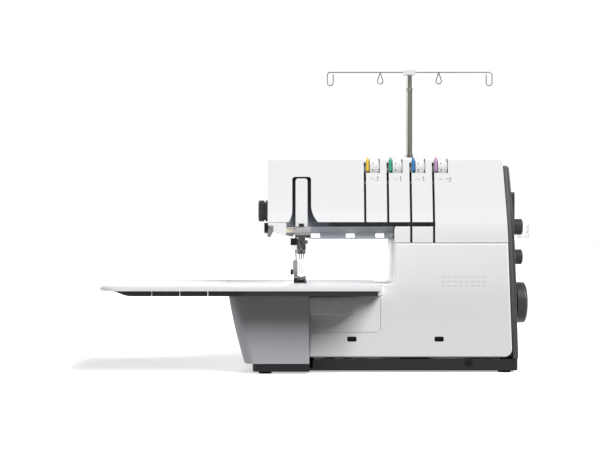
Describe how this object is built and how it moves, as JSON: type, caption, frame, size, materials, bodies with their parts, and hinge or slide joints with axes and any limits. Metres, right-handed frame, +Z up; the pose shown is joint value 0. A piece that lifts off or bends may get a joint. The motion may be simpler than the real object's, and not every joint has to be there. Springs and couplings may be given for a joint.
{
  "type": "cover stitch sewing machine",
  "caption": "Table-top cover stitch machine with slide-on extension table, colour-coded thread slots with tension dials, telescopic thread mast and an opening front cover.",
  "frame": {"origin": "centre of the overall bounding box in plan, on the floor under the rubber feet", "axes": "+X along the machine from the extension table to the handwheel, +Y from the operator to the rear, +Z up"},
  "size_m": [0.615, 0.34, 0.441],
  "materials": {
    "white_casing": "smooth satin",
    "bed_white": "smooth satin",
    "pale_grey": "fine grain",
    "charcoal": "fine grain",
    "panel_grey": "satin",
    "black_trim": "matte",
    "foot_rubber": "matte",
    "cast_alloy": "as cast",
    "bronze": "machined",
    "steel": "ground",
    "bright_steel": "polished",
    "foot_steel": "dark plated",
    "belt_rubber": "ribbed",
    "board_green": "lacquered",
    "lamp_window": "frosted",
    "thread_tab": "smooth, one colour per thread path",
    "dial_white": "smooth",
    "clear_tray": "clear",
    "pin_grey": "smooth",
    "motor_grey": "satin"
  },
  "bodies": {
    "machine": {"base_pan": "charcoal", "rubber_feet": "foot_rubber", "cast_frame": "cast_alloy", "bearing_bushes": "bronze", "front_housing": "white_casing", "rear_housing": "white_casing", "casing_screws": "steel", "arm_underside": "pale_grey", "led_modules": "lamp_window", "bed_casing": "bed_white", "needle_plate": "steel", "throat_cover": "white_casing", "hinge_pins": "steel", "right_panel": "panel_grey", "power_inlet": "black_trim", "thread_channel": "black_trim", "take_up_cover": "white_casing", "thread_tabs": "thread_tab", "tension_rack": "steel", "presser_spring": "steel", "drive_motor": "motor_grey", "drive_belts": "belt_rubber", "circuit_board": "board_green", "thread_cutter": "black_trim", "mast_lower": "bright_steel", "spool_tray": "clear_tray", "spool_pins": "pin_grey"},
    "main_drive": {"handwheel": "panel_grey", "main_shaft": "steel", "shaft_pulleys": "pin_grey"},
    "arm_drive": {"arm_shaft": "steel"},
    "motor_rotor": {"motor_pulley": "steel"},
    "needle_carrier": {"needle_bar": "bright_steel", "needle_clamp": "bright_steel", "needles": "bright_steel", "connecting_rod": "cast_alloy"},
    "presser": {"presser_bar": "bright_steel", "foot_holder": "steel", "presser_foot": "foot_steel"},
    "lifter": {"foot_lifter": "pale_grey"},
    "looper_arm": {"looper": "bright_steel"},
    "feed_main": {"main_feed_dog": "steel"},
    "feed_differential": {"differential_feed_dog": "steel"},
    "cover": {"front_cover": "white_casing", "looper_door": "white_casing"},
    "tension_1": {"tension_dial_1": "dial_white"},
    "tension_2": {"tension_dial_2": "dial_white"},
    "tension_3": {"tension_dial_3": "dial_white"},
    "tension_4": {"tension_dial_4": "dial_white"},
    "length_control": {"length_knob": "panel_grey"},
    "differential_control": {"differential_knob": "panel_grey"},
    "pressure_control": {"pressure_dial": "panel_grey"},
    "threader": {"threading_lever": "panel_grey"},
    "switch": {"power_switch": "black_trim"},
    "mast_mid": {"mast_middle": "bright_steel"},
    "mast_top": {"mast_upper": "bright_steel", "guide_cap": "dial_white", "guide_wires": "bright_steel"},
    "extension_table": {"table_top": "white_casing", "table_underframe": "charcoal"}
  },
  "joints": [
    {"name": "handwheel_turn", "type": "hinge", "parent": "machine", "child": "main_drive", "pos_m": [0.2, -0.04, 0.0945], "axis": [1, 0, 0], "continuous": true},
    {"name": "arm_shaft_turn", "type": "hinge", "parent": "machine", "child": "arm_drive", "pos_m": [0.1, -0.04, 0.262], "axis": [1, 0, 0], "continuous": true},
    {"name": "motor_turn", "type": "hinge", "parent": "machine", "child": "motor_rotor", "pos_m": [0.16, 0.017, 0.048], "axis": [1, 0, 0], "continuous": true},
    {"name": "needle_bar_stroke", "type": "slide", "parent": "machine", "child": "needle_carrier", "axis": [0, 0, 1], "range_m": [-0.027, 0]},
    {"name": "foot_lift_lever", "type": "hinge", "parent": "machine", "child": "lifter", "pos_m": [-0.037, 0.057, 0.218], "axis": [0, 1, 0], "range_deg": [0, 60]},
    {"name": "presser_lift", "type": "slide", "parent": "machine", "child": "presser", "axis": [0, 0, 1], "range_m": [0, 0.0085], "deforming": ["presser_spring"]},
    {"name": "looper_swing", "type": "hinge", "parent": "machine", "child": "looper_arm", "pos_m": [0.004, -0.031, 0.066], "axis": [0, 1, 0], "range_deg": [-6, 6]},
    {"name": "feed_stroke", "type": "slide", "parent": "machine", "child": "feed_main", "axis": [0, 1, 0], "range_m": [-0.002, 0.002]},
    {"name": "differential_stroke", "type": "slide", "parent": "machine", "child": "feed_differential", "axis": [0, 1, 0], "range_m": [-0.002, 0.002]},
    {"name": "front_cover_hinge", "type": "hinge", "parent": "machine", "child": "cover", "pos_m": [0.1, -0.091, 0.0245], "axis": [1, 0, 0], "range_deg": [0, 88]},
    {"name": "tension_dial_1_turn", "type": "hinge", "parent": "machine", "child": "tension_1", "pos_m": [0.0656, -0.0615, 0.283], "axis": [1, 0, 0], "range_deg": [-140, 140]},
    {"name": "tension_dial_2_turn", "type": "hinge", "parent": "machine", "child": "tension_2", "pos_m": [0.0973, -0.0615, 0.283], "axis": [1, 0, 0], "range_deg": [-140, 140]},
    {"name": "tension_dial_3_turn", "type": "hinge", "parent": "machine", "child": "tension_3", "pos_m": [0.129, -0.0615, 0.283], "axis": [1, 0, 0], "range_deg": [-140, 140]},
    {"name": "tension_dial_4_turn", "type": "hinge", "parent": "machine", "child": "tension_4", "pos_m": [0.1605, -0.0615, 0.283], "axis": [1, 0, 0], "range_deg": [-140, 140]},
    {"name": "length_knob_turn", "type": "hinge", "parent": "machine", "child": "length_control", "pos_m": [0.268, -0.029, 0.2014], "axis": [1, 0, 0], "range_deg": [-135, 135]},
    {"name": "differential_knob_turn", "type": "hinge", "parent": "machine", "child": "differential_control", "pos_m": [0.268, -0.029, 0.1587], "axis": [1, 0, 0], "range_deg": [-135, 135]},
    {"name": "pressure_dial_turn", "type": "hinge", "parent": "machine", "child": "pressure_control", "pos_m": [-0.09, -0.037, 0.224], "axis": [1, 0, 0], "range_deg": [-180, 180]},
    {"name": "threading_lever_swing", "type": "hinge", "parent": "machine", "child": "threader", "pos_m": [0.265, -0.045, 0.217], "axis": [1, 0, 0], "range_deg": [0, 70]},
    {"name": "power_switch_rock", "type": "hinge", "parent": "machine", "child": "switch", "pos_m": [0.256, 0.019, 0.079], "axis": [0, 1, 0], "range_deg": [0, 14]},
    {"name": "mast_lower_slide", "type": "slide", "parent": "machine", "child": "mast_mid", "axis": [0, 0, 1], "range_m": [-0.095, 0]},
    {"name": "mast_upper_slide", "type": "slide", "parent": "mast_mid", "child": "mast_top", "axis": [0, 0, 1], "range_m": [-0.018, 0.06]},
    {"name": "table_slide", "type": "slide", "parent": "machine", "child": "extension_table", "axis": [-1, 0, 0], "range_m": [0, 0.23]}
  ],
  "couplings": [
    {"joint": "arm_shaft_turn", "follows": "handwheel_turn", "ratio": 1},
    {"joint": "motor_turn", "follows": "handwheel_turn", "ratio": 3.75},
    {"joint": "foot_lift_lever", "follows": "presser_lift", "rad_per_m": 123},
    {"joint": "differential_stroke", "follows": "feed_stroke", "ratio": 1}
  ]
}
